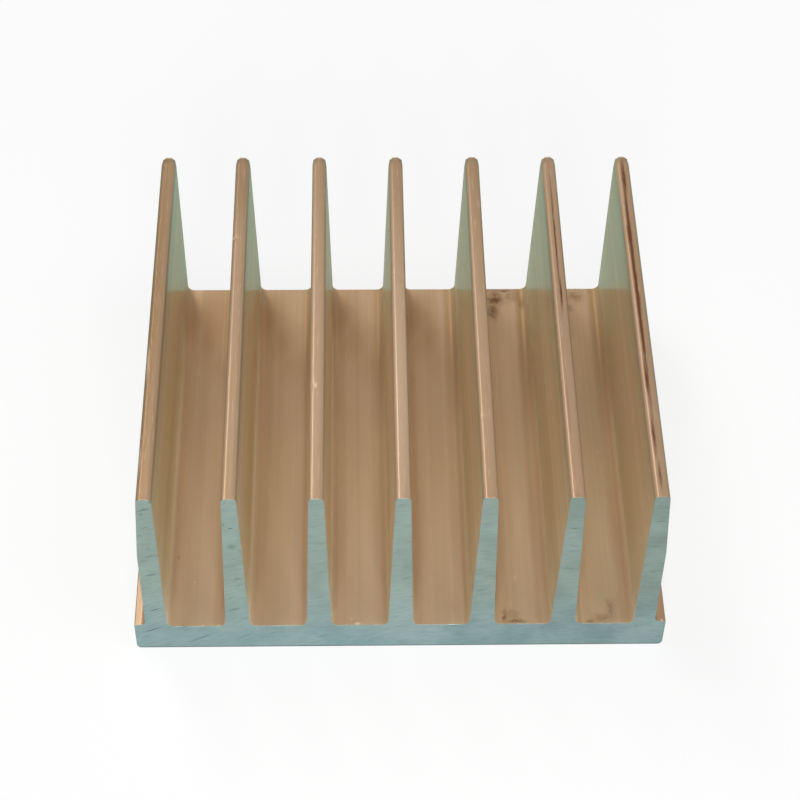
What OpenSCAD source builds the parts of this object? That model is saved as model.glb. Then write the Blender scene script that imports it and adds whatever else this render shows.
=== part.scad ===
// Extruded aluminium heat sink: a flat base with a row of tapered fins, pressed through a die as one
// section and sawn to length. X runs across the fins, Y along them and Z up from the base's underside.
// The origin is the middle of that underside.

/* [Extrusion] */
// Length of the sawn piece, along the fins
length = 77; // [20:1:300]
// Height from the underside of the base to the fin tips
height = 40.7; // [30:0.1:80]
// Thickness of the base under the channels between the fins
base_t = 6.2; // [3:0.1:10]

/* [Fins] */
// Number of fins
fin_count = 7; // [2:1:16]
// Distance from the middle of one fin to the next
fin_pitch = 13.6; // [10:0.1:25]
// Thickness of every fin at its tip
tip_w = 2.4; // [1.8:0.1:3.2]
// Thickness of an inner fin at its root
root_w = 4.1; // [2.6:0.1:6]
// Thickness of an outer fin at its root
outer_root_w = 3.6; // [3:0.1:6]

/* [Outer faces of the row] */
// Distance that the tip of an outer fin leans in from over the middle of its root
lean = 0.45; // [0:0.05:1]
// Height over which an outer fin's outer face leans in, down from the tip to its shoulder
lean_h = 14.5; // [5:0.5:20]
// Thickness of an outer fin at that shoulder
shoulder_w = 3.35; // [2.6:0.05:4]

/* [Ledges] */
// Width of the ledge outside each outer fin
ledge_w = 1.85; // [1.3:0.05:6]
// Thickness of the base at the ledges
ledge_t = 6.7; // [4:0.1:10]

/* [Corners] */
// Radius of both corners of a fin tip
tip_r = 0.7; // [0.2:0.05:0.85]
// Radius of the fillets between the fins and the channel floors
root_r = 1.25; // [0.3:0.05:2]
// Radius of the fillets between the outer fins and the ledges
ledge_root_r = 0.9; // [0.2:0.05:1.2]
// Radius of the upper corners of the ledges
ledge_r = 0.25; // [0.1:0.05:0.4]
// Radius of the lower corners of the base
base_r = 0.8; // [0.2:0.05:1]

/* [Hidden] */
$fn = 96;
// How far a rounding disc laps over the two sides that it touches, so that it meets each in one clean edge
lap = 0.0002;
// Colour of the filmed skin
skin_color = "#a48465";
// Middle of the outermost root, and half the width of the base
outer_x = (fin_count - 1) / 2 * fin_pitch;
base_x = outer_x + outer_root_w / 2 + ledge_w;

// Point on the line from p to q at height z
function at_height(p, q, z) = p + (q - p) * (z - p[1]) / (q[1] - p[1]);

// A corner is a point and the radius that rounds it off, or 0 to leave it sharp
function corner(point, r) = [point[0], point[1], r];

// Corners of the outer fin on the +X side with its half of the base, from the underside up and over the tip
function outer_corners() =
    let (
        foot_in = [outer_x - outer_root_w / 2, base_t],
        foot_out = [outer_x + outer_root_w / 2, base_t],
        tip_in = [outer_x - lean - tip_w / 2, height],
        tip_out = [outer_x - lean + tip_w / 2, height],
        shoulder = at_height(foot_in, tip_in, height - lean_h) + [shoulder_w, 0]
    ) [
        corner([base_x, 0], base_r),
        corner([base_x, ledge_t], ledge_r),
        corner(at_height(foot_out, shoulder, ledge_t), ledge_root_r),
        corner(shoulder, 0),
        corner(tip_out, tip_r),
        corner(tip_in, tip_r),
        corner(foot_in, root_r)
    ];

// Corners of the inner fin that stands at x, from its +X foot over the tip to its -X foot
function inner_corners(x) = [
    corner([x + root_w / 2, base_t], root_r),
    corner([x + tip_w / 2, height], tip_r),
    corner([x - tip_w / 2, height], tip_r),
    corner([x - root_w / 2, base_t], root_r)
];

// The same corners on the other side of the middle, in the order that keeps the outline's direction
function mirrored(corners) = [
    for (i = [len(corners) - 1:-1:0])
        [-corners[i][0], corners[i][1], corners[i][2]]
];

// Outline with every corner rounded. An arc that touches both sides of a corner touches each of them
// r / tan(half the corner's angle) away from it, and its centre is r / sin(half the angle) away.
// The polygon cuts each corner off between those points. A disc then fills an outside corner out
// to its arc, or clears an inside corner back to it. It is turned to start on its far side, so that
// each arc stays in one piece.
module rounded_outline(corners) {
    n = len(corners);
    function point(i) = [corners[(i + n) % n][0], corners[(i + n) % n][1]];
    function radius(i) = corners[i][2];
    function side(i, step) = (point(i + step) - point(i)) / norm(point(i + step) - point(i));
    function half_angle(i) = acos(side(i, -1) * side(i, 1)) / 2;
    function touch(i, step) = point(i) + side(i, step) * radius(i) / tan(half_angle(i));
    function inward(i) = (side(i, -1) + side(i, 1)) / norm(side(i, -1) + side(i, 1));
    function is_outside(i) = cross(side(i, -1), side(i, 1)) < 0;
    module discs(outside) {
        for (i = [0:n - 1])
            if (radius(i) > 0 && is_outside(i) == outside)
                translate(point(i) + inward(i) * radius(i) / sin(half_angle(i)))
                    rotate(atan2(inward(i)[1], inward(i)[0]))
                        circle(r = radius(i) + lap);
    }
    difference() {
        union() {
            polygon([for (i = [0:n - 1]) each radius(i) > 0 ? [touch(i, -1), touch(i, 1)] : [point(i)]]);
            discs(outside = true);
        }
        discs(outside = false);
    }
}

module heatsink() {
    inner = [for (i = [fin_count - 2:-1:1]) each inner_corners(i * fin_pitch - outer_x)];
    color(skin_color)
        rotate([90, 0, 0])
            linear_extrude(height = length, center = true)
                rounded_outline(concat(outer_corners(), inner, mirrored(outer_corners())));
}

heatsink();
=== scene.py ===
import bpy
import numpy as np
from mathutils import Matrix, Vector
from mathutils.geometry import delaunay_2d_cdt


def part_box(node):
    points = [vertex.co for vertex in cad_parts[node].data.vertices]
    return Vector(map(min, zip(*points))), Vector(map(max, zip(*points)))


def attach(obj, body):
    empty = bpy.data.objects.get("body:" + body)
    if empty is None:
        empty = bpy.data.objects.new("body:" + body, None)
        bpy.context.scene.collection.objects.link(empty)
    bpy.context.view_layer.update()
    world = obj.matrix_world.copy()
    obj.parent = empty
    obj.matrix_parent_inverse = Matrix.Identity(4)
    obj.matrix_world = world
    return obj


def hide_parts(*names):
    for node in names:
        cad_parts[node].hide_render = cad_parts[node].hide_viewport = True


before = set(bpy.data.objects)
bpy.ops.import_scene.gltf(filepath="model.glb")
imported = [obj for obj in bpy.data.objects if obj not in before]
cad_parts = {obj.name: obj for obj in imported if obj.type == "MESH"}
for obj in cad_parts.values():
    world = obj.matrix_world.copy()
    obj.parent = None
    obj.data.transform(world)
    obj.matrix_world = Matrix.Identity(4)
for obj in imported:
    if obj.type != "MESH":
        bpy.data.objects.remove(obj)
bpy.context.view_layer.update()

# The looks of an extruded aluminium heat sink with seven tapered fins. The bar was extruded, its
# skin took a tan chromate film, and then it was sawn to length, so both ends are bare metal.
# Sizes are in millimetres and become metres where a mesh, a lamp or a node takes them.
MM = 0.001

cad_low, cad_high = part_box("heatsink")
LENGTH, HEIGHT = ((cad_high - cad_low) / MM)[1:]

# The extruded section, with the same values as the CAD source.
FINS = 7
PITCH = 13.6
TIP_W = 2.4
ROOT_W = 4.1
OUTER_ROOT_W = 3.6
LEAN = 0.45
LEAN_H = 14.5
SHOULDER_W = 3.35
LEDGE_W = 1.85
LEDGE_T = 6.7
BASE_T = 6.2
TIP_R = 0.7
ROOT_R = 1.25
LEDGE_ROOT_R = 0.9
LEDGE_R = 0.25
BASE_R = 0.8
OUTER_X = (FINS - 1) / 2 * PITCH
BASE_X = OUTER_X + OUTER_ROOT_W / 2 + LEDGE_W

# How finely the surface is cut up.
ARC_STEPS = 8
FLAT_STEP = 1.6
GUARD = 0.18
STATION_STEP = 2.5
KNOCK_STATIONS = 9
LEAST_STEP = 0.08
END_GAP = 0.05
EDGE_STEPS = 3

# The saw leaves a sharp edge, with its burr broken off here and there, where a ripple of 60 to 320 waves
# round the outline rises above BROKEN_FROM.
SAWN_EDGE = 0.015
BROKEN_EDGE = 0.06
BROKEN_FROM = 1.1
RIPPLE_WAVES = (60, 320)
EDGE_ROOM = 0.15


def at_height(p, q, z):
    """The point at height z on the straight line through p and q."""
    return (p[0] + (q[0] - p[0]) * (z - p[1]) / (q[1] - p[1]), z)


def outer_corners():
    """The right side's corners as x, z and radius: from the base's lower edge up over the ledge and the
    outer fin to that fin's inner root."""
    foot_in = (OUTER_X - OUTER_ROOT_W / 2, BASE_T)
    foot_out = (OUTER_X + OUTER_ROOT_W / 2, BASE_T)
    tip_in = (OUTER_X - LEAN - TIP_W / 2, HEIGHT)
    tip_out = (OUTER_X - LEAN + TIP_W / 2, HEIGHT)
    near_shoulder = at_height(foot_in, tip_in, HEIGHT - LEAN_H)
    shoulder = (near_shoulder[0] + SHOULDER_W, near_shoulder[1])
    return [
        (BASE_X, 0, BASE_R),
        (BASE_X, LEDGE_T, LEDGE_R),
        (*at_height(foot_out, shoulder, LEDGE_T), LEDGE_ROOT_R),
        (*shoulder, 0),
        (*tip_out, TIP_R),
        (*tip_in, TIP_R),
        (*foot_in, ROOT_R),
    ]


def inner_corners(x):
    """The corners of one inner fin at x, from its right root over the tip to its left root."""
    return [
        (x + ROOT_W / 2, BASE_T, ROOT_R),
        (x + TIP_W / 2, HEIGHT, TIP_R),
        (x - TIP_W / 2, HEIGHT, TIP_R),
        (x - ROOT_W / 2, BASE_T, ROOT_R),
    ]


def section_corners():
    """All corners of the section, anticlockwise seen from the front, as rows of x, z and radius."""
    right = outer_corners()
    left = [(-x, z, r) for x, z, r in reversed(right)]
    fins = [c for i in range(FINS - 2, 0, -1) for c in inner_corners((i - (FINS - 1) / 2) * PITCH)]
    return np.array(right + fins + left)


def rounded(corners, steps):
    """Each corner becomes an arc of its radius r that touches both sides: it starts r / tan(half the
    corner's angle) before the corner, and its centre lies r / sin(half the angle) along the bisector."""
    point, radius = corners[:, :2], corners[:, 2:]
    back = np.roll(point, 1, 0) - point
    ahead = np.roll(point, -1, 0) - point
    back /= np.linalg.norm(back, axis=1, keepdims=True)
    ahead /= np.linalg.norm(ahead, axis=1, keepdims=True)
    half = np.arccos((back * ahead).sum(1, keepdims=True)) / 2
    inward = back + ahead
    inward /= np.linalg.norm(inward, axis=1, keepdims=True)
    centre = point + inward * radius / np.sin(half)
    first = point + back * radius / np.tan(half) - centre
    last = point + ahead * radius / np.tan(half) - centre
    turn = np.arctan2(
        first[:, 0] * last[:, 1] - first[:, 1] * last[:, 0], (first * last).sum(1)
    )
    t = turn[:, None] * np.linspace(0, 1, steps + 1)
    cos, sin = np.cos(t)[..., None], np.sin(t)[..., None]
    across = np.stack([-first[:, 1], first[:, 0]], 1)
    arcs = centre[:, None] + first[:, None] * cos + across[:, None] * sin
    return arcs.reshape(-1, 2)


def without_repeats(points):
    """The outline without points that sit on the one before."""
    step = np.linalg.norm(points - np.roll(points, 1, 0), axis=1)
    return points[step > 1e-6]


def cut_up(points, step, guard):
    """Long straight runs get points no more than a step apart, and one a guard's width from each end, so
    that the shading of a flat side stays flat right up to its corner."""
    ahead = np.roll(points, -1, 0)
    run = np.linalg.norm(ahead - points, axis=1)
    cuts = np.where(run > 4 * guard, np.ceil((run - 2 * guard) / step).astype(int) + 2, 1)
    which = np.repeat(np.arange(len(points)), cuts)
    order = np.arange(len(which)) - np.repeat(np.cumsum(cuts) - cuts, cuts)
    middle = guard + (order - 1) * (run[which] - 2 * guard) / np.maximum(cuts[which] - 2, 1)
    along = np.where(order == 0, 0, middle) / run[which]
    return points[which] + (ahead - points)[which] * along[:, None]


def outward(points):
    """The outline's outward direction at each point, square to the line through its two neighbours."""
    along = np.roll(points, -1, 0) - np.roll(points, 1, 0)
    normal = np.stack([along[:, 1], -along[:, 0]], 1)
    return normal / np.linalg.norm(normal, axis=1, keepdims=True)


def perimeter(points):
    """How far round the outline each point lies, from the first one."""
    step = np.linalg.norm(np.roll(points, -1, 0) - points, axis=1)
    return np.cumsum(step) - step


def wander(s, whole, waves, seed):
    """A smooth closed ripple round a path of length whole: sum of sin(2 pi s count / whole + phase) over 24
    random whole counts of waves and random phases, divided by sqrt(24). Most of it lies within -1 and 1."""
    rng = np.random.default_rng(seed)
    count = rng.integers(*waves, size=24)
    phase = rng.uniform(0, 2 * np.pi, size=24)
    return np.sin(2 * np.pi * s[:, None] * count / whole + phase).sum(1) / np.sqrt(24)


# The ridges' middles; the outer fins lean inward.
RIDGES = [-OUTER_X + LEAN, *((i - (FINS - 1) / 2) * PITCH for i in range(1, FINS - 1)), OUTER_X - LEAN]

# Small knocks on the fins' ridges: x, z and y of the middle, half width across, half length, depth. The
# last rows ease both corners of each fin's rear tip.
KNOCKS = np.array([
    (-28.1, 40.6, 18.2, 0.35, 0.45, 0.10),
    (-41.3, 40.6, 36.0, 0.35, 0.50, 0.10),
    (-41.2, 40.5, -6.0, 0.30, 0.60, 0.08),
    (-14.4, 40.6, -15.2, 0.30, 0.80, 0.07),
    (26.0, 40.5, -8.3, 0.30, 0.40, 0.09),
    (27.6, 40.6, -37.6, 0.40, 0.50, 0.10),
    (41.2, 40.5, -12.0, 0.30, 1.60, 0.08),
    (40.9, 40.6, -24.0, 0.30, 2.20, 0.07),
    (0.6, 40.6, 9.0, 0.30, 0.70, 0.06),
    (13.0, 40.6, -22.0, 0.30, 0.60, 0.06),
] + [(x + side, 40.7, 38.5, 0.75, 0.9, 0.5) for x in RIDGES for side in (-1.2, 1.2)])


def station_places():
    """Places along the bar where the section is set: even steps, closer round each knock, then the sawn
    edge's quarter circle at both ends. Beside each place stand the shares of the edge's size by which the
    section lies back from the end, 1 - sin(turn), and is drawn in, 1 - cos(turn), with the turn from 0 to
    90 degrees."""
    inner = LENGTH / 2 - EDGE_ROOM
    even = np.linspace(-inner, inner, int(2 * inner / STATION_STEP))
    near = (KNOCKS[:, 2:3] + KNOCKS[:, 4:5] * np.linspace(-2, 2, KNOCK_STATIONS)).ravel()
    places = np.unique(np.concatenate([even, near[np.abs(near) < inner - END_GAP]]).round(3))
    kept = [places[0]]
    for place in places[1:]:
        if place - kept[-1] > LEAST_STEP:
            kept.append(place)
    kept[-1] = inner
    turn = np.linspace(0, np.pi / 2, EDGE_STEPS + 1)
    back, drawn_in = 1 - np.sin(turn), 1 - np.cos(turn)
    plain = np.zeros(len(kept))
    end = np.full(EDGE_STEPS + 1, LENGTH / 2)
    return (
        np.concatenate([-end, kept, end]),
        np.concatenate([back[::-1], plain, back]),
        np.concatenate([drawn_in[::-1], plain, drawn_in]),
    )


def linear(colour):
    """An sRGB hex colour as linear RGBA: c / 12.92 up to 0.04045, else ((c + 0.055) / 1.055) ** 2.4."""
    c = np.array([int(colour[i : i + 2], 16) for i in (1, 3, 5)]) / 255
    c = np.where(c <= 0.04045, c / 12.92, ((c + 0.055) / 1.055) ** 2.4)
    return (*c.tolist(), 1.0)


def node(tree, kind, inputs=None, **settings):
    """Adds one shader node. An input takes a plain value or another node's output."""
    made = tree.nodes.new("ShaderNode" + kind)
    for name, value in settings.items():
        setattr(made, name, value)
    for name, value in (inputs or {}).items():
        if isinstance(value, bpy.types.NodeSocket):
            tree.links.new(value, made.inputs[name])
        else:
            made.inputs[name].default_value = value
    return made


def new_material(name):
    """An empty node material and its tree."""
    material = bpy.data.materials.new(name)
    material.use_nodes = True
    material.node_tree.nodes.clear()
    return material, material.node_tree


def patches(tree, place, rows):
    """A mask of soft-edged patches. Each row holds a patch's middle, half sizes and strength, and may hold
    its slope in degrees in the x-z plane. With far = |(place - middle) / half sizes|, a patch is worth
    strength * smoothstep(1 - far), and where patches overlap the strongest counts."""
    mask = None
    for middle, half, strength, *slope in rows:
        near = node(tree, "Mapping", {
            "Vector": place,
            "Location": np.array(middle) * MM,
            "Rotation": (0, -np.radians(slope[0]) if slope else 0, 0),
            "Scale": np.array(half) * MM,
        }, vector_type="TEXTURE").outputs[0]
        far = node(tree, "VectorMath", {0: near}, operation="LENGTH").outputs["Value"]
        patch = node(
            tree, "MapRange", {0: far, 1: 1.0, 2: 0.0, 3: 0.0, 4: strength},
            interpolation_type="SMOOTHSTEP",
        ).outputs[0]
        if mask is None:
            mask = patch
        else:
            mask = node(tree, "Math", {0: mask, 1: patch}, operation="MAXIMUM").outputs[0]
    return mask


# The film's tones: rubbed on the open faces; in the channels painted paler, as a painted fill light against
# their shade: paler on the fins' sides, paler still lower down, palest just above the roots, and darker on
# the floors than on the sides.
OPEN_FILM = "#b5997e"
WALL_FILM = "#e5c4a3"
LOW_WALL_FILM = "#fbdfc0"
LIFTED_ROOT_FILM = "#fffae6"
FLOOR_FILM = "#cab090"

# Tints over the film: painted shade on the roots that face left towards the rear, the die's drag, painted
# shade and painted highlights in the strips by the roots, near both ends where it was handled, painted
# shade on the floors towards the front, on dulled ridges, and painted shadows in brown clouds.
REAR_ROOT_SHADE = "#e2ddd0"
DRAWN_TINT = "#e0d6c0"
DRAWN_DEPTH = 0.4
ROOT_SHADE_TINT = "#e2e6cf"
ROOT_SHADE_SHARE = 0.7
CATCH_LIGHT_TONE = "#d3b599"
CATCH_LIGHT_SHARE = 0.4
RUBBED_END = "#f0e0d8"
RUBBED_SHARE = 0.45
FRONT_FLOOR_SHADE = "#f2f7fb"
HANDLED_TINT = "#cdc4b6"
PAINTED_SHADOW_TINT = "#ebd9ca"
BROWN_STAIN = "#6a442e"
BARE_FLECK = "#ecd9c0"

# How much of the metal shows through the film, less where the film is painted palest above the roots, and
# the tint that turns its reflection grey-green at a grazing angle, a painted reflection of greenish
# surroundings.
METALLIC = 0.27
LIFTED_METALLIC = 0.08
EDGE_TINT = (0.0, 1.0, 1.0, 1)

# Roughness: the channels kept the die's polish, the open faces are rubbed duller, the roots and the tarnish
# are dullest, and the die's lines vary it.
CHANNEL_ROUGH = 0.2
OPEN_ROUGH = 0.25
LINES_ROUGH = 0.1
ROOT_ROUGH = 0.45
TARNISH_ROUGH = 0.55

# Where the film changes, in millimetres: the depth at which a channel begins, how far a root's dull film
# reaches and fades, and the heights between which the painted lift just above the roots and the painted
# paler film lower down set in.
CHANNEL_MOUTH = 1.4
ROOT_REACH = 2.6
ROOT_FADE = 1.2
LIFT_RISE = 0.6
LIFT_TOP = 15
LIFT_FADE = 8
PALER_TOP = 24
PALER_FADE = 16

# The painted lift's share on the sides that face left, and the painted paler film's share at the top of the
# sides that face right, which is also all of it that the sides that face left get. The sides that face
# right get more of both, as the lamps light them less.
LEFT_LIFT = 0.6
PALER_SHARE = 0.35

# Strips along the whole bar: painted shade, olive-tinted, beside the fins' roots, and painted highlights
# near the roots that face left, where they catch the light. Each is its x and half width.
ROOT_SHADE_STRIPS = [
    (-25.6, 0.8), (-11.7, 0.9), (-1.9, 0.7), (2.0, 0.7), (11.4, 0.9), (15.9, 0.6), (25.2, 0.8), (30.0, 0.7),
]
CATCH_LIGHT_STRIPS = [(-17.5, 1.2), (-4.2, 1.4), (8.8, 1.0), (22.6, 0.9), (36.4, 1.0)]
STRIP_LENGTH = 300
STRIP_DEPTH = 3

# Ridges that hands have dulled.
HANDLED_RIDGES = [
    ((-41.0, 0, 41), (3, 90, 5), 0.9),
    ((-27.2, 0, 41), (3, 90, 5), 0.35),
    ((27.2, 0, 41), (3, 90, 5), 0.4),
    ((41.0, 0, 41), (3, 90, 5), 0.45),
    ((0, 45, 41), (60, 45, 5), 0.35),
    ((-27.2, 32, 41), (3, 26, 5), 0.7),
]

# Painted shadows, faint and brown, at a fin's right root near the rear end, running out to the front right,
# where the fin shades the floor from a lamp at the rear left. Here x counts from the fin's middle, and the
# channels left of x = 10 mm have them.
ROOT_SHADOWS = [
    ((2.4, 31.0, 8.0), (7.2, 10.5, 10.0), 0.8),
    ((6.0, 25.5, 6.2), (5.0, 9.0, 3.0), 0.55),
    ((8.5, 20.0, 6.2), (4.0, 8.0, 3.0), 0.35),
]
# Painted shade over the rear of the leftmost channel's floor.
LEFT_FLOOR_SHADE = [((-32.6, 33.0, 6.2), (4.5, 12.0, 4.0), 0.7)]

# Brown tarnish spots on the channels' floors, mostly near the ends, and on the left ridge.
TARNISH = [
    ((20.4, 38.0, 6.2), (4.2, 0.8, 1.0), 1.0),
    ((19.3, 35.8, 6.2), (2.8, 3.0, 1.5), 1.0),
    ((18.8, 32.8, 6.2), (1.7, 3.4, 1.5), 0.75),
    ((22.2, 36.4, 6.2), (2.8, 2.4, 1.5), 0.5),
    ((24.2, 34.8, 6.4), (0.9, 2.6, 1.5), 0.5),
    ((34.6, 36.4, 6.2), (2.6, 2.2, 1.5), 0.6),
    ((33.2, 33.6, 6.2), (1.2, 2.0, 1.5), 0.45),
    ((17.5, -36.7, 6.2), (0.7, 2.0, 1.0), 0.8),
    ((19.4, -37.9, 6.2), (2.4, 0.7, 1.0), 0.8),
    ((19.0, -36.6, 6.2), (1.8, 1.6, 1.0), 0.35),
    ((35.4, -35.4, 6.2), (1.3, 3.0, 1.0), 0.45),
    ((34.2, -37.4, 6.2), (3.2, 1.2, 1.0), 0.45),
    ((31.8, -38.0, 6.2), (1.2, 0.5, 1.0), 0.6),
    ((-20.9, -36.2, 6.2), (0.5, 0.35, 1.0), 0.7),
    ((-37.8, -24.4, 6.2), (0.16, 0.6, 1.0), 1.0),
    ((6.9, -31.0, 6.2), (0.16, 0.5, 1.0), 1.0),
    ((-41.2, -28.0, 40.6), (0.35, 8.0, 1.2), 0.35),
    ((-41.5, 5.0, 40.6), (0.3, 9.0, 1.2), 0.35),
]

# Brown lines where the outer ridges rubbed against something.
RIDGE_LINES = [
    ((40.20, 8.0, 40.6), (0.46, 46.0, 1.6), 1.5),
    ((40.32, 33.0, 40.6), (0.55, 8.0, 1.6), 1.2),
    ((40.15, 19.0, 40.6), (0.62, 9.0, 1.6), 1.3),
    ((40.25, 4.0, 40.6), (0.55, 7.0, 1.6), 1.2),
    ((40.05, -14.0, 40.6), (0.52, 8.0, 1.6), 1.1),
    ((40.05, -26.0, 40.6), (0.46, 6.5, 1.6), 1.0),
    ((40.30, -34.0, 40.6), (0.40, 4.5, 1.6), 0.8),
    ((27.20, 18.0, 40.6), (0.28, 26.0, 1.4), 1.0),
    ((27.35, 5.0, 40.6), (0.32, 6.0, 1.4), 1.2),
    ((26.90, -20.0, 40.6), (0.20, 9.0, 1.2), 0.35),
]

# Bare nicks on the floors and along their front edge.
BARE_NICKS = [
    ((-7.2, -38.2, 6.2), (0.7, 0.45, 0.6), 0.9),
    ((-8.2, -37.3, 6.2), (0.25, 0.3, 0.6), 0.6),
    ((-33.0, -38.4, 6.2), (0.6, 0.2, 0.6), 0.7),
    ((-30.4, -38.4, 6.2), (0.3, 0.2, 0.6), 0.7),
    ((43.8, -38.3, 6.6), (0.3, 0.5, 0.6), 0.9),
    ((-34.8, -29.5, 6.2), (0.25, 0.4, 0.6), 0.5),
    ((19.7, -29.0, 6.2), (0.2, 1.3, 0.6), 0.35),
    ((35.9, -1.5, 6.2), (0.5, 0.25, 0.6), 0.4),
    ((22.1, 5.2, 6.2), (0.25, 0.4, 0.6), 0.4),
    ((-13.8, -15.2, 40.7), (0.3, 1.0, 0.6), 0.6),
    ((-28.2, 18.3, 40.6), (0.4, 0.5, 0.6), 0.6),
    ((-41.2, -10.0, 40.6), (0.25, 6.0, 0.6), 0.4),
    ((-41.3, -30.0, 40.6), (0.25, 5.0, 0.6), 0.4),
    ((0.0, -18.0, 40.6), (3.0, 50.0, 2.0), 0.12),
] + [((x, 38.5, 40.6), (1.3, 0.45, 0.6), 0.7) for x in RIDGES]


def extruded_skin():
    """Extruded aluminium under a thin chromate conversion film: a tan satin sheen, fine lines and soft
    bands drawn along the bar by the die, strips of painted shade and painted highlight by the roots, a film
    painted paler in the channels as fill light against their shade, a painted greenish reflection where it
    grazes the light, with brown tarnish near the ends and painted brown shadows by the roots."""
    material, tree = new_material("chromated_extruded_aluminium")
    place = node(tree, "TexCoord").outputs["Object"]
    x, y, z = node(tree, "SeparateXYZ", {0: place}).outputs

    # Noise drawn out along the bar, with its grain across and along in millimetres. Real die lines are
    # 0.05 mm apart; 0.3 mm is the finest that shows. Drag bands are 1.9 mm wide, ridge dashes 4 mm long.
    drawn = {}
    for name, across, along, detail, seed in (
        ("lines", 0.30, 90, 3, 3.1), ("bands", 1.9, 260, 3, 12.3), ("dashes", 0.16, 4, 2, 21.9)
    ):
        at = node(tree, "Mapping", {
            "Vector": place,
            "Location": (seed, seed, seed),
            "Scale": (1 / (across * MM), 1 / (along * MM), 1 / (across * MM)),
        }).outputs[0]
        drawn[name] = node(tree, "TexNoise", {"Vector": at, "Scale": 1, "Detail": detail}).outputs[0]
    # The film clouds in patches of about 6 mm; tarnish breaks up over grains of 0.9 mm.
    cloud = node(tree, "TexNoise", {"Vector": place, "Scale": 1 / (6 * MM), "Detail": 3}).outputs[0]
    grain = node(tree, "TexNoise", {"Vector": place, "Scale": 1 / (0.9 * MM), "Detail": 4})
    shift = node(
        tree, "VectorMath", {0: grain.outputs["Color"], 1: (0.5, 0.5, 0.5)}, operation="SUBTRACT"
    ).outputs[0]
    ragged = {}
    for name, reach in (("slightly", 0.16), ("badly", 1.3)):
        step = node(tree, "VectorMath", {0: shift, "Scale": reach * MM}, operation="SCALE").outputs[0]
        ragged[name] = node(tree, "VectorMath", {0: place, 1: step}, operation="ADD").outputs[0]

    inside = node(tree, "Attribute", attribute_name="in_channel").outputs["Fac"]
    floor = node(tree, "Attribute", attribute_name="on_floor").outputs["Fac"]
    root = node(tree, "Attribute", attribute_name="at_root").outputs["Fac"]
    low = node(tree, "Attribute", attribute_name="low_wall").outputs["Fac"]
    lift = node(tree, "Attribute", attribute_name="shade_lift").outputs["Fac"]
    left_root = node(tree, "Attribute", attribute_name="at_left_facing_root").outputs["Fac"]

    # The die's drag grows to its full depth as 0.35 * lines + bands sinks from 0.85 to 0.5.
    drag = node(
        tree, "Math", {0: drawn["lines"], 1: 0.35, 2: drawn["bands"]}, operation="MULTIPLY_ADD"
    ).outputs[0]
    drag = node(tree, "MapRange", {0: drag, 1: 0.85, 2: 0.5, 3: 0.0, 4: DRAWN_DEPTH}).outputs[0]
    strips = []
    # Painted shade by the roots, then painted highlights where the roots catch the light.
    for rows, share in ((ROOT_SHADE_STRIPS, ROOT_SHADE_SHARE), (CATCH_LIGHT_STRIPS, CATCH_LIGHT_SHARE)):
        long_rows = [((at, 0, BASE_T), (half, STRIP_LENGTH, STRIP_DEPTH), share) for at, half in rows]
        strip = node(tree, "Math", {0: patches(tree, place, long_rows), 1: floor}, operation="MULTIPLY")
        strips.append(strip.outputs[0])
    # Handling pulls the film towards pink from 22 mm off the middle out to each end.
    end = node(tree, "Math", {0: y}, operation="ABSOLUTE").outputs[0]
    end = node(tree, "MapRange", {0: end, 1: 22 * MM, 2: 39 * MM, 3: 0.0, 4: RUBBED_SHARE}).outputs[0]
    end = node(tree, "Math", {0: end, 1: cloud}, operation="MULTIPLY").outputs[0]
    # Painted shade, slightly cool, on the floors towards the front, and on the roots that face left towards
    # the rear, where it damps a lamp's highlight.
    front = node(tree, "MapRange", {0: y, 1: -6 * MM, 2: -34 * MM, 3: 0.0, 4: 1.0}).outputs[0]
    front = node(tree, "Math", {0: front, 1: floor}, operation="MULTIPLY").outputs[0]
    rear_root = node(tree, "MapRange", {0: y, 1: 2 * MM, 2: 30 * MM, 3: 0.0, 4: 1.0}).outputs[0]
    rear_root = node(tree, "Math", {0: rear_root, 1: left_root}, operation="MULTIPLY").outputs[0]
    # The painted root shadows repeat at each fin and fade out between x = 7 and 10 mm.
    from_fin = node(tree, "Math", {0: x, 1: PITCH * MM}, operation="FLOORED_MODULO").outputs[0]
    from_fin = node(tree, "CombineXYZ", {0: from_fin, 1: y, 2: z}).outputs[0]
    leftward = node(tree, "MapRange", {0: x, 1: 7 * MM, 2: 10 * MM, 3: 1.0, 4: 0.0}).outputs[0]
    root_shadow_mask = node(
        tree, "Math", {0: patches(tree, from_fin, ROOT_SHADOWS), 1: leftward}, operation="MULTIPLY"
    ).outputs[0]
    speckle = node(tree, "MapRange", {0: grain.outputs[0], 1: 0.4, 2: 0.6, 3: 0.55, 4: 1.0}).outputs[0]
    stain = node(
        tree, "Math", {0: patches(tree, ragged["badly"], TARNISH), 1: speckle}, operation="MULTIPLY"
    ).outputs[0]
    # Bright drag flecks lie only on the ridges: none below z = 39.7 mm, all above 40.3 mm.
    high = node(tree, "MapRange", {0: z, 1: 39.7 * MM, 2: 40.3 * MM, 3: 0.0, 4: 1.0}).outputs[0]
    fleck = node(tree, "MapRange", {0: drawn["dashes"], 1: 0.6, 2: 0.8, 3: 0.0, 4: 0.3}).outputs[0]
    fleck = node(tree, "Math", {0: fleck, 1: high}, operation="MULTIPLY").outputs[0]

    # The film is painted paler in the channels, lower on the fins' sides and palest just above the roots, a
    # painted fill light against their shade.
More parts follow.
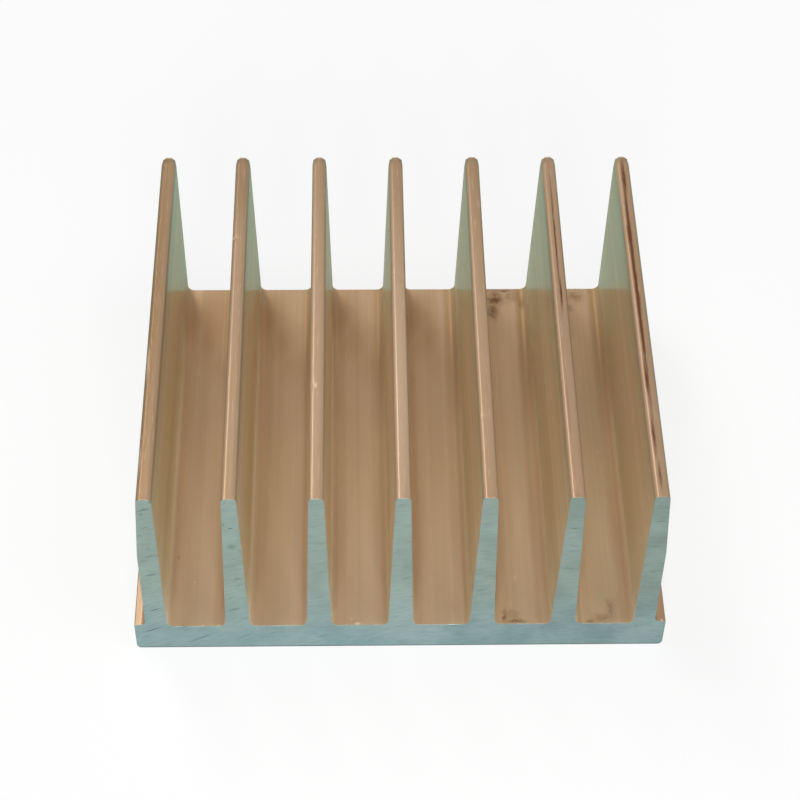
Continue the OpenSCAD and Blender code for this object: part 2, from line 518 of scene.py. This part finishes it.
    film_and_light = node(
        tree, "Mix", {"Factor": low, "A": linear(WALL_FILM), "B": linear(LOW_WALL_FILM)}, data_type="RGBA"
    ).outputs["Result"]
    film_and_light = node(
        tree, "Mix", {"Factor": lift, "A": film_and_light, "B": linear(LIFTED_ROOT_FILM)}, data_type="RGBA"
    ).outputs["Result"]
    film_and_light = node(
        tree, "Mix", {"Factor": floor, "A": film_and_light, "B": linear(FLOOR_FILM)}, data_type="RGBA"
    ).outputs["Result"]
    film_and_light = node(
        tree, "Mix", {"Factor": inside, "A": linear(OPEN_FILM), "B": film_and_light}, data_type="RGBA"
    ).outputs["Result"]
    # Over the film: painted shade on the rear roots that face left, the die's drag, painted shade and
    # painted highlights in the strips, handled ends, painted shade on the front floors, dulled ridges,
    # painted shadows by the roots and on the leftmost floor, then tarnish, ridge lines, flecks and nicks.
    for share, tone, how in (
        (rear_root, REAR_ROOT_SHADE, "MULTIPLY"),
        (drag, DRAWN_TINT, "MULTIPLY"),
        (strips[0], ROOT_SHADE_TINT, "MULTIPLY"),
        (strips[1], CATCH_LIGHT_TONE, "MIX"),
        (end, RUBBED_END, "MULTIPLY"),
        (front, FRONT_FLOOR_SHADE, "MULTIPLY"),
        (patches(tree, place, HANDLED_RIDGES), HANDLED_TINT, "MULTIPLY"),
        (root_shadow_mask, PAINTED_SHADOW_TINT, "MULTIPLY"),
        (patches(tree, place, LEFT_FLOOR_SHADE), PAINTED_SHADOW_TINT, "MULTIPLY"),
        (stain, BROWN_STAIN, "MIX"),
        (patches(tree, ragged["slightly"], RIDGE_LINES), BROWN_STAIN, "MIX"),
        (fleck, BARE_FLECK, "MIX"),
        (patches(tree, ragged["slightly"], BARE_NICKS), BARE_FLECK, "MIX"),
    ):
        film_and_light = node(
            tree, "Mix", {"Factor": share, "A": film_and_light, "B": linear(tone)}, data_type="RGBA", blend_type=how
        ).outputs["Result"]

    # Die lines 0.0015 mm deep, bands 0.02 mm, and a film grain of 0.004 mm.
    bump = None
    for height, depth in ((drawn["lines"], 0.0015), (drawn["bands"], 0.02), (grain.outputs[0], 0.004)):
        inputs = {"Height": height, "Strength": 1, "Distance": depth * MM}
        if bump:
            inputs["Normal"] = bump
        bump = node(tree, "Bump", inputs).outputs[0]
    rough = node(tree, "MapRange", {0: inside, 1: 0.0, 2: 1.0, 3: OPEN_ROUGH, 4: CHANNEL_ROUGH}).outputs[0]
    rough = node(
        tree, "Math", {0: drawn["lines"], 1: LINES_ROUGH, 2: rough}, operation="MULTIPLY_ADD"
    ).outputs[0]
    rough = node(tree, "MapRange", {0: root, 1: 0.0, 2: 1.0, 3: rough, 4: ROOT_ROUGH}).outputs[0]
    rough = node(tree, "MapRange", {0: stain, 1: 0.0, 2: 1.0, 3: rough, 4: TARNISH_ROUGH}).outputs[0]
    # Low on the fins' sides, where the film is painted palest, less of the metal shows, which lightens the
    # shade there further.
    metal = node(tree, "MapRange", {0: lift, 1: 0.0, 2: 1.0, 3: METALLIC, 4: LIFTED_METALLIC}).outputs[0]
    # The specular tint paints a greenish reflection at grazing angles.
    shader = node(tree, "BsdfPrincipled", {
        "Base Color": film_and_light,
        "Metallic": metal,
        "Roughness": rough,
        "Specular IOR Level": 0.0,
        "Specular Tint": EDGE_TINT,
        "Normal": bump,
    })
    node(tree, "OutputMaterial", {"Surface": shader.outputs[0]})
    return material


# The saw: its blade's axle stood below the bar and right of its middle, and its teeth ran at this radius.
BLADE_X = 30.0
BLADE_Z = -146.0
BLADE_R = 167.0

# The cut's tones: at the top and low down, whose blue-green is a painted reflection of dim greenish
# surroundings, in pale patches, and a tint towards the right; then deep marks, smudges and a line of
# painted shade along the bottom edge.
CUT_TOP = "#92a49b"
CUT_LOW = "#88a3a5"
CUT_PALE = "#a6bab5"
CUT_RIGHT = "#e4e4e5"
DEEP_MARK = "#4c615f"
SMUDGE = "#6f827e"
BOTTOM_EDGE_SHADE = "#3f4c4c"

# Deeper strokes of the saw on the front end: middle x and z, half length, slope in degrees, strength.
STROKES = [
    (-40.4, 38.2, 1.2, 24, 0.9),
    (-41.0, 37.0, 0.5, 10, 0.6),
    (-40.6, 33.6, 1.3, 30, 0.35),
    (-40.7, 25.9, 1.4, 25, 0.6),
    (-40.6, 20.9, 1.7, 14, 0.8),
    (-40.7, 11.1, 1.5, 22, 0.9),
    (-41.4, 5.3, 2.7, 27, 0.9),
    (-33.7, 2.7, 3.2, 28, 0.8),
    (-27.2, 33.3, 0.7, 2, 1.0),
    (-26.8, 19.7, 1.0, 3, 0.6),
    (-27.6, 11.0, 1.4, 20, 0.8),
    (27.1, 32.8, 1.4, 0, 0.7),
    (27.0, 26.5, 1.0, 0, 0.4),
    (27.0, 21.9, 1.4, 2, 0.4),
    (40.6, 34.4, 1.3, 0, 0.5),
    (40.8, 27.8, 1.4, 0, 0.6),
    (41.0, 20.8, 1.2, 3, 0.5),
    (13.4, 33.9, 0.9, 0, 0.3),
    (13.2, 16.0, 1.6, 6, 0.3),
    (-13.6, 12.0, 1.6, 8, 0.25),
]
STROKE_DEPTH = 3.0
STROKE_WIDTH = 0.22

# Where the front end's cut is palest.
PALE_CUTS = [
    ((1.0, -38.5, 8.0), (9.0, 1.0, 13.0), 0.4),
    ((41.5, -38.5, 3.0), (6.0, 1.0, 11.0), 0.35),
]

# Smudges on the front end.
SMUDGES = [
    ((-27.3, -38.5, 28.4), (1.3, 1, 1.1), 0.7),
    ((-28.3, -38.5, 34.1), (0.4, 1, 0.4), 1.0),
    ((-25.9, -38.5, 27.2), (0.5, 1, 0.9), 0.5),
    ((-39.3, -38.5, 40.2), (0.5, 1, 0.5), 0.9),
    ((-41.7, -38.5, 31.5), (0.5, 1, 0.3), 0.6),
    ((-40.9, -38.5, 18.5), (0.5, 1, 0.3), 0.5),
    ((-40.6, -38.5, 28.0), (0.5, 1, 0.5), 0.4),
    ((-13.6, -38.5, 14.0), (3.0, 1, 12.0), 0.18),
]


def sawn_end():
    """Bare aluminium cut by a circular saw: a matt blue-grey that is a painted reflection of dim greenish
    surroundings, with fine arcs left by the teeth, a few deep strokes, smudges, and a dark line of painted
    shade along the bottom edge."""
    material, tree = new_material("sawn_bare_aluminium")
    place = node(tree, "TexCoord").outputs["Object"]
    x, y, z = node(tree, "SeparateXYZ", {0: place}).outputs

    # Polar places round the blade's axle: how far out, and how far along the arc.
    across = node(tree, "Math", {0: x, 1: BLADE_X * MM}, operation="SUBTRACT").outputs[0]
    up = node(tree, "Math", {0: z, 1: BLADE_Z * MM}, operation="SUBTRACT").outputs[0]
    both = node(tree, "CombineXYZ", {0: across, 2: up}).outputs[0]
    out = node(tree, "VectorMath", {0: both}, operation="LENGTH").outputs["Value"]
    turn = node(tree, "Math", {0: across, 1: up}, operation="ARCTAN2").outputs[0]
    arc = node(tree, "Math", {0: turn, 1: BLADE_R * MM}, operation="MULTIPLY").outputs[0]
    polar = node(tree, "CombineXYZ", {0: out, 1: arc, 2: y}).outputs[0]

    # Noise drawn out along the blade's arc, with its grain across and along in millimetres. Real tooth
    # marks are 0.1 mm apart; 0.28 mm is the finest that shows.
    cut = {}
    for name, width, length, seed in (("fine", 0.28, 2.2, 1.7), ("coarse", 0.7, 5, 5.3)):
        at = node(tree, "Mapping", {
            "Vector": polar,
            "Location": (seed, seed, seed),
            "Scale": (1 / (width * MM), 1 / (length * MM), 1 / (20 * MM)),
        }).outputs[0]
        cut[name] = node(tree, "TexNoise", {"Vector": at, "Scale": 1, "Detail": 2}).outputs[0]
    cloud = node(tree, "TexNoise", {"Vector": place, "Scale": 1 / (5 * MM), "Detail": 4}).outputs[0]
    grain = node(tree, "TexNoise", {"Vector": place, "Scale": 1 / (0.8 * MM), "Detail": 3}).outputs["Color"]
    shift = node(tree, "VectorMath", {0: grain, 1: (0.5, 0.5, 0.5)}, operation="SUBTRACT").outputs[0]
    shift = node(tree, "VectorMath", {0: shift, "Scale": 0.5 * MM}, operation="SCALE").outputs[0]
    ragged = node(tree, "VectorMath", {0: place, 1: shift}, operation="ADD").outputs[0]

    # The tone changes from z = 3 to 16 mm and from x = -5 to 40 mm. The painted shade along the bottom
    # edge ends 0.35 mm above the bottom.
    height = node(tree, "MapRange", {0: z, 1: 3 * MM, 2: 16 * MM, 3: 0.0, 4: 1.0}).outputs[0]
    rightward = node(tree, "MapRange", {0: x, 1: -5 * MM, 2: 40 * MM, 3: 0.0, 4: 1.0}).outputs[0]
    bottom_shade = node(tree, "MapRange", {0: z, 1: 0.12 * MM, 2: 0.35 * MM, 3: 0.75, 4: 0.0}).outputs[0]
    patchy = node(tree, "MapRange", {0: cloud, 1: 0.35, 2: 0.65, 3: 0.0, 4: 0.35}).outputs[0]
    scored = node(tree, "MapRange", {0: cut["fine"], 1: 0.48, 2: 0.76, 3: 0.0, 4: 0.28}).outputs[0]
    dragged = node(tree, "MapRange", {0: cut["coarse"], 1: 0.58, 2: 0.8, 3: 0.0, 4: 0.25}).outputs[0]
    strokes = [
        ((mid_x, -LENGTH / 2, mid_z), (half, STROKE_DEPTH, STROKE_WIDTH), strength, slope)
        for mid_x, mid_z, half, slope, strength in STROKES
    ]
    # The base tones carry a painted reflection of dim blue-green surroundings; the last tint is painted
    # shade along the bottom edge.
    colour = linear(CUT_LOW)
    for share, tone, how in (
        (height, CUT_TOP, "MIX"),
        (rightward, CUT_RIGHT, "MULTIPLY"),
        (patchy, CUT_PALE, "MIX"),
        (patches(tree, place, PALE_CUTS), CUT_PALE, "MIX"),
        (scored, DEEP_MARK, "MIX"),
        (dragged, SMUDGE, "MIX"),
        (patches(tree, ragged, strokes), DEEP_MARK, "MIX"),
        (patches(tree, ragged, SMUDGES), SMUDGE, "MIX"),
        (bottom_shade, BOTTOM_EDGE_SHADE, "MIX"),
    ):
        colour = node(
            tree, "Mix", {"Factor": share, "A": colour, "B": linear(tone)}, data_type="RGBA", blend_type=how
        ).outputs["Result"]

    bump = node(tree, "Bump", {"Height": cut["fine"], "Strength": 1, "Distance": 0.010 * MM}).outputs[0]
    bump = node(
        tree, "Bump", {"Height": cut["coarse"], "Strength": 1, "Distance": 0.02 * MM, "Normal": bump}
    ).outputs[0]
    rough = node(tree, "MapRange", {0: cloud, 1: 0.3, 2: 0.7, 3: 0.36, 4: 0.46}).outputs[0]
    shader = node(tree, "BsdfPrincipled", {
        "Base Color": colour,
        "Metallic": 1.0,
        "Roughness": rough,
        "Normal": bump,
    })
    node(tree, "OutputMaterial", {"Surface": shader.outputs[0]})
    return material


def heat_sink(skin, sawn):
    """The bar: the section's outline carried along y. At station j, outline point i sits at its place in
    the section, moved inward along the outline's normal by the sawn edge's inset and by the knocks, each
    of which is depth * exp(-(across / half width)^2 - (along / half length)^2)."""
    outline = cut_up(without_repeats(rounded(section_corners(), ARC_STEPS)), FLAT_STEP, GUARD)
    normal = outward(outline)
    round_s = perimeter(outline)
    whole = round_s[-1] + np.linalg.norm(outline[-1] - outline[0])
    ripple = wander(round_s, whole, RIPPLE_WAVES, 11)
    edge = SAWN_EDGE + BROKEN_EDGE * np.clip(ripple - BROKEN_FROM, 0, 1)
    y, back, drawn_in = station_places()

    inset = drawn_in[:, None] * edge[None, :]
    for x, z, along, half_w, half_l, depth in KNOCKS:
        near = np.linalg.norm(outline - (x, z), axis=1)
        inset += depth * np.exp(-((near[None, :] / half_w) ** 2) - ((y[:, None] - along) / half_l) ** 2)
    x = outline[:, 0] - normal[:, 0] * inset
    z = outline[:, 1] - normal[:, 1] * inset
    y = y[:, None] - np.sign(y)[:, None] * back[:, None] * edge[None, :]
    points = np.stack([x, y, z], -1)

    rows, columns = x.shape
    j, i = np.meshgrid(np.arange(rows - 1), np.arange(columns), indexing="ij")
    after = (i + 1) % columns
    this_row, next_row = j * columns, (j + 1) * columns
    sides = np.stack([this_row + i, next_row + i, next_row + after, this_row + after], -1)

    faces = sides.reshape(-1, 4).tolist()
    side_count = len(faces)
    for row, order in ((0, 1), (rows - 1, -1)):
        ring = points[row][:, [0, 2]]
        loop = list(range(columns))
        flat = delaunay_2d_cdt([Vector(p) for p in ring], [], [loop], 1, 1e-7)
        triangles = np.array(flat[2])[:, ::order]
        origin = np.array([o[0] if o else -1 for o in flat[3]])
        if (origin < 0).any():
            raise RuntimeError("the end cap gained a point of its own")
        faces += (origin[triangles] + row * columns).tolist()

    mesh = bpy.data.meshes.new("heatsink_extrusion")
    mesh.from_pydata((points.reshape(-1, 3) * MM).tolist(), [], faces)
    mesh.materials.append(skin)
    mesh.materials.append(sawn)
    slots = np.ones(len(faces), int)
    row_of = np.repeat(np.arange(rows - 1), columns)
    slots[:side_count] = (row_of < EDGE_STEPS) | (row_of >= rows - 1 - EDGE_STEPS)
    mesh.polygons.foreach_set("material_index", slots)
    smooth = np.zeros(len(faces), bool)
    smooth[:side_count] = True
    mesh.polygons.foreach_set("use_smooth", smooth)
    # How deep in a channel each point lies: 0 on the ridges and outside, 1 from the channel's mouth down.
    depth = np.clip((HEIGHT - outline[:, 1]) / CHANNEL_MOUTH, 0, 1)
    depth *= (np.abs(outline[:, 0]) < OUTER_X - LEAN) & (outline[:, 1] > BASE_T - 0.01)
    above = outline[:, 1] - BASE_T
    floor = depth * np.clip(1 - above / ROOT_R, 0, 1)
    # How near a root's corner each point lies, for the roots that face left and those that face right.
    left_facing = np.array([x - ROOT_W / 2 for x in RIDGES[1:-1]] + [OUTER_X - OUTER_ROOT_W / 2])
    near_root = []
    for corners in (left_facing, -left_facing):
        away = np.hypot(np.subtract.outer(outline[:, 0], corners), above[:, None]).min(1)
        near_root.append(depth * np.clip((ROOT_REACH - away) / ROOT_FADE, 0, 1))
    left_root, right_root = near_root
    # The film is painted paler down a fin's side and palest just above the floor, a painted fill light
    # against the shade there. Both show more on the sides that face right, which the lamps light less.
    fall = np.clip((PALER_TOP - outline[:, 1]) / PALER_FADE, 0, 1)
    lift = depth * np.clip(above / LIFT_RISE, 0, 1)
    lift = lift * np.clip((LIFT_TOP - outline[:, 1]) / LIFT_FADE, 0, 1)
    rightward = normal[:, 0] > 0
    paler = np.where(rightward, PALER_SHARE + (1 - PALER_SHARE) * fall, PALER_SHARE * fall)
    layers = {
        "in_channel": depth,
        "on_floor": floor,
        "at_root": np.maximum(left_root, right_root),
        "at_left_facing_root": left_root,
        "shade_lift": lift * np.where(rightward, 1.0, LEFT_LIFT),
        "low_wall": depth * paler,
    }
    for name, value in layers.items():
        mesh.attributes.new(name, "FLOAT", "POINT").data.foreach_set("value", np.tile(value, rows))
    mesh.update()
    mesh.validate()
    piece = bpy.data.objects.new("heatsink_extrusion", mesh)
    bpy.context.collection.objects.link(piece)
    return piece


piece = heat_sink(extruded_skin(), sawn_end())
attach(piece, "root")
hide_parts("heatsink")

# The camera's place and turn, in degrees and millimetres.
AIM = Vector((0.37, -0.88, 20.0)) * MM
DISTANCE = 371.744 * MM
AZIMUTH, ELEVATION, ROLL = np.radians((1.8941, 49.6499, 1.1646))
SENSOR = 36.0
LENS = 96.255

forward = Vector((
    np.sin(AZIMUTH) * np.cos(ELEVATION),
    np.cos(AZIMUTH) * np.cos(ELEVATION),
    -np.sin(ELEVATION),
))
level = Vector((np.cos(AZIMUTH), -np.sin(AZIMUTH), 0))
right = level * np.cos(ROLL) + level.cross(forward) * np.sin(ROLL)
camera = bpy.data.objects.new("camera", bpy.data.cameras.new("camera"))
camera.data.sensor_width = SENSOR
camera.data.lens = LENS
camera.data.clip_start = 10 * MM
camera.data.clip_end = 10
turn = Matrix((right, right.cross(forward), -forward)).transposed().to_4x4()
camera.matrix_world = Matrix.Translation(AIM - forward * DISTANCE) @ turn
bpy.context.collection.objects.link(camera)
bpy.context.scene.camera = camera


def softbox(name, azimuth, elevation, distance, size, watts):
    """A square white lamp that looks at the part from an azimuth (0 is behind it, 90 its right) and an
    elevation in degrees, with its distance and size in metres."""
    lamp = bpy.data.objects.new(name, bpy.data.lights.new(name, "AREA"))
    lamp.data.shape = "SQUARE"
    lamp.data.size = size
    lamp.data.energy = watts
    a, e = np.radians((azimuth, elevation))
    away = Vector((np.sin(a) * np.cos(e), np.cos(a) * np.cos(e), np.sin(e)))
    target = Vector((0, 0, 20 * MM))
    lamp.matrix_world = Matrix.Translation(target + away * distance) @ (
        away.to_track_quat("Z", "Y").to_matrix().to_4x4()
    )
    bpy.context.collection.objects.link(lamp)


softbox("key", -32, 50, 1.0, 0.25, 2.0)
softbox("left", -55, 66, 1.0, 0.3, 2.1)
softbox("front", 180, 25, 1.0, 0.4, 10.2)
softbox("right", 120, 60, 1.0, 0.4, 1.7)

# The white surroundings show in full to the camera, in reflections and through glass. A tenth of that
# lights matt surfaces.
WORLD_FILL = 0.1
world = bpy.data.worlds.new("studio")
bpy.context.scene.world = world
world.use_nodes = True
world.node_tree.nodes.clear()
rays = node(world.node_tree, "LightPath").outputs
seen = node(
    world.node_tree, "Math", {0: rays["Is Camera Ray"], 1: rays["Is Glossy Ray"]}, operation="MAXIMUM"
)
seen = node(
    world.node_tree, "Math", {0: seen.outputs[0], 1: rays["Is Transmission Ray"]}, operation="MAXIMUM"
).outputs[0]
strength = node(world.node_tree, "MapRange", {0: seen, 1: 0, 2: 1, 3: WORLD_FILL, 4: 1.0}).outputs[0]
sky = node(world.node_tree, "Background", {"Color": (1, 1, 1, 1), "Strength": strength})
node(world.node_tree, "OutputWorld", {"Surface": sky.outputs[0]})


# The table: half its width in metres, its white, and how much of that white is its own light.
TABLE_HALF = 3.0
TABLE_WHITE = "#f4f4f4"
TABLE_GLOW = 0.8


def studio_table():
    """A matt white table. To the camera and in reflections most of its white is its own, so that it runs
    into the white backdrop and only a light shadow shows under the part."""
    material, tree = new_material("matt_white_table")
    rays = node(tree, "LightPath").outputs
    seen = node(tree, "Math", {0: rays["Is Camera Ray"], 1: rays["Is Glossy Ray"]}, operation="MAXIMUM")
    seen = node(
        tree, "Math", {0: seen.outputs[0], 1: rays["Is Transmission Ray"]}, operation="MAXIMUM"
    ).outputs[0]
    share = node(tree, "MapRange", {0: seen, 1: 0, 2: 1, 3: 0.0, 4: TABLE_GLOW}).outputs[0]
    matt = node(tree, "BsdfDiffuse", {"Color": linear(TABLE_WHITE)})
    white = node(tree, "Emission", {"Color": (1, 1, 1, 1), "Strength": 1.0})
    mixed = node(tree, "MixShader", {0: share, 1: matt.outputs[0], 2: white.outputs[0]})
    node(tree, "OutputMaterial", {"Surface": mixed.outputs[0]})
    mesh = bpy.data.meshes.new("table")
    corners = [(x * TABLE_HALF, y * TABLE_HALF, 0) for x, y in ((-1, -1), (1, -1), (1, 1), (-1, 1))]
    mesh.from_pydata(corners, [], [(0, 1, 2, 3)])
    mesh.materials.append(material)
    table = bpy.data.objects.new("table", mesh)
    bpy.context.collection.objects.link(table)


studio_table()
bpy.context.scene.view_settings.view_transform = "Standard"
